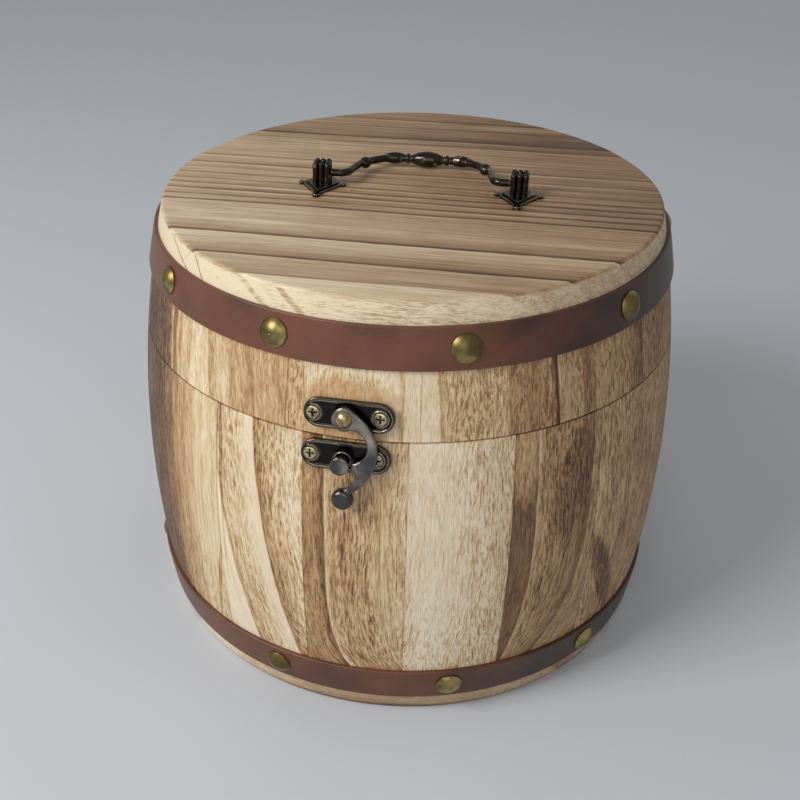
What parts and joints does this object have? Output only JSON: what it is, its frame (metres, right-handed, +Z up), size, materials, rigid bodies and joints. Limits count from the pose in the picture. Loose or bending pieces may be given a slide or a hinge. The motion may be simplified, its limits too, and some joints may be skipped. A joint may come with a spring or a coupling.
{
  "type": "wooden keg box",
  "caption": "Small lidded wooden keg box of glued staves, hinged at the back, with two tacked leather straps, a front hook latch and a drop bail handle on the lid.",
  "frame": {"origin": "centre of the keg's bottom face, on the surface it stands on", "axes": "+Z up along the keg's axis, -Y towards the latch at the front, +Y towards the hinge, X along the handle"},
  "size_m": [0.2, 0.2048, 0.1712],
  "materials": {
    "stave_wood": "planed pale softwood, scorched grain, thin matt varnish",
    "board_wood": "planed board with dark scorched grain lines, thin matt varnish",
    "strap_leather": "satin reddish dark brown leather",
    "tack_brass": "antique brass, worn bright on the crown",
    "latch_bronze": "antique bronze plating, dark in the hollows and worn at the edges",
    "rivet_brass": "worn brass rivet head",
    "wood_screw_steel": "yellow zinc on steel, cross recess",
    "hinge_brass": "antique brass butt hinge",
    "handle_bronze": "cast zinc plated dark antique bronze, gold-worn high points",
    "machine_screw_steel": "zinc plated, slotted"
  },
  "bodies": {
    "keg": {"body_stave_01": "stave_wood", "body_stave_02": "stave_wood", "body_stave_03": "stave_wood", "body_stave_04": "stave_wood", "body_stave_05": "stave_wood", "body_stave_06": "stave_wood", "body_stave_07": "stave_wood", "body_stave_08": "stave_wood", "body_stave_09": "stave_wood", "body_stave_10": "stave_wood", "body_stave_11": "stave_wood", "body_stave_12": "stave_wood", "body_stave_13": "stave_wood", "body_stave_14": "stave_wood", "body_stave_15": "stave_wood", "body_stave_16": "stave_wood", "body_stave_17": "stave_wood", "body_stave_18": "stave_wood", "bottom_board_front": "board_wood", "bottom_board_back": "board_wood", "lower_strap": "strap_leather", "lower_strap_tacks": "tack_brass", "hinge_body_leaf": "hinge_brass", "hinge_pin": "hinge_brass", "hinge_body_screws": "wood_screw_steel", "catch_plate": "latch_bronze", "catch_stud": "latch_bronze", "catch_plate_screws": "wood_screw_steel"},
    "lid": {"lid_stave_01": "stave_wood", "lid_stave_02": "stave_wood", "lid_stave_03": "stave_wood", "lid_stave_04": "stave_wood", "lid_stave_05": "stave_wood", "lid_stave_06": "stave_wood", "lid_stave_07": "stave_wood", "lid_stave_08": "stave_wood", "lid_stave_09": "stave_wood", "lid_stave_10": "stave_wood", "lid_stave_11": "stave_wood", "lid_stave_12": "stave_wood", "lid_stave_13": "stave_wood", "lid_stave_14": "stave_wood", "lid_board_front": "board_wood", "lid_board_middle": "board_wood", "lid_board_back": "board_wood", "upper_strap": "strap_leather", "upper_strap_tacks": "tack_brass", "hinge_lid_leaf": "hinge_brass", "hinge_lid_screws": "wood_screw_steel", "latch_plate": "latch_bronze", "latch_rivet": "rivet_brass", "latch_plate_screws": "wood_screw_steel", "left_rosette": "handle_bronze", "right_rosette": "handle_bronze", "left_post": "handle_bronze", "right_post": "handle_bronze", "handle_screws": "machine_screw_steel"},
    "hook": {"latch_hook": "latch_bronze"},
    "handle": {"bail": "handle_bronze"}
  },
  "joints": [
    {"name": "lid_hinge", "type": "hinge", "parent": "keg", "child": "lid", "pos_m": [0, 0.09537, 0.11765], "axis": [-1, 0, 0], "range_deg": [0, 165]},
    {"name": "hook_pivot", "type": "hinge", "parent": "lid", "child": "hook", "pos_m": [-0.002, -0.09788, 0.12583], "axis": [0, -0.9912, 0.1323], "range_deg": [-6, 110]},
    {"name": "bail_pivot", "type": "hinge", "parent": "lid", "child": "handle", "pos_m": [0.0035, -0.001, 0.167], "axis": [0.9994, 0.0349, 0], "range_deg": [0, 188]}
  ]
}
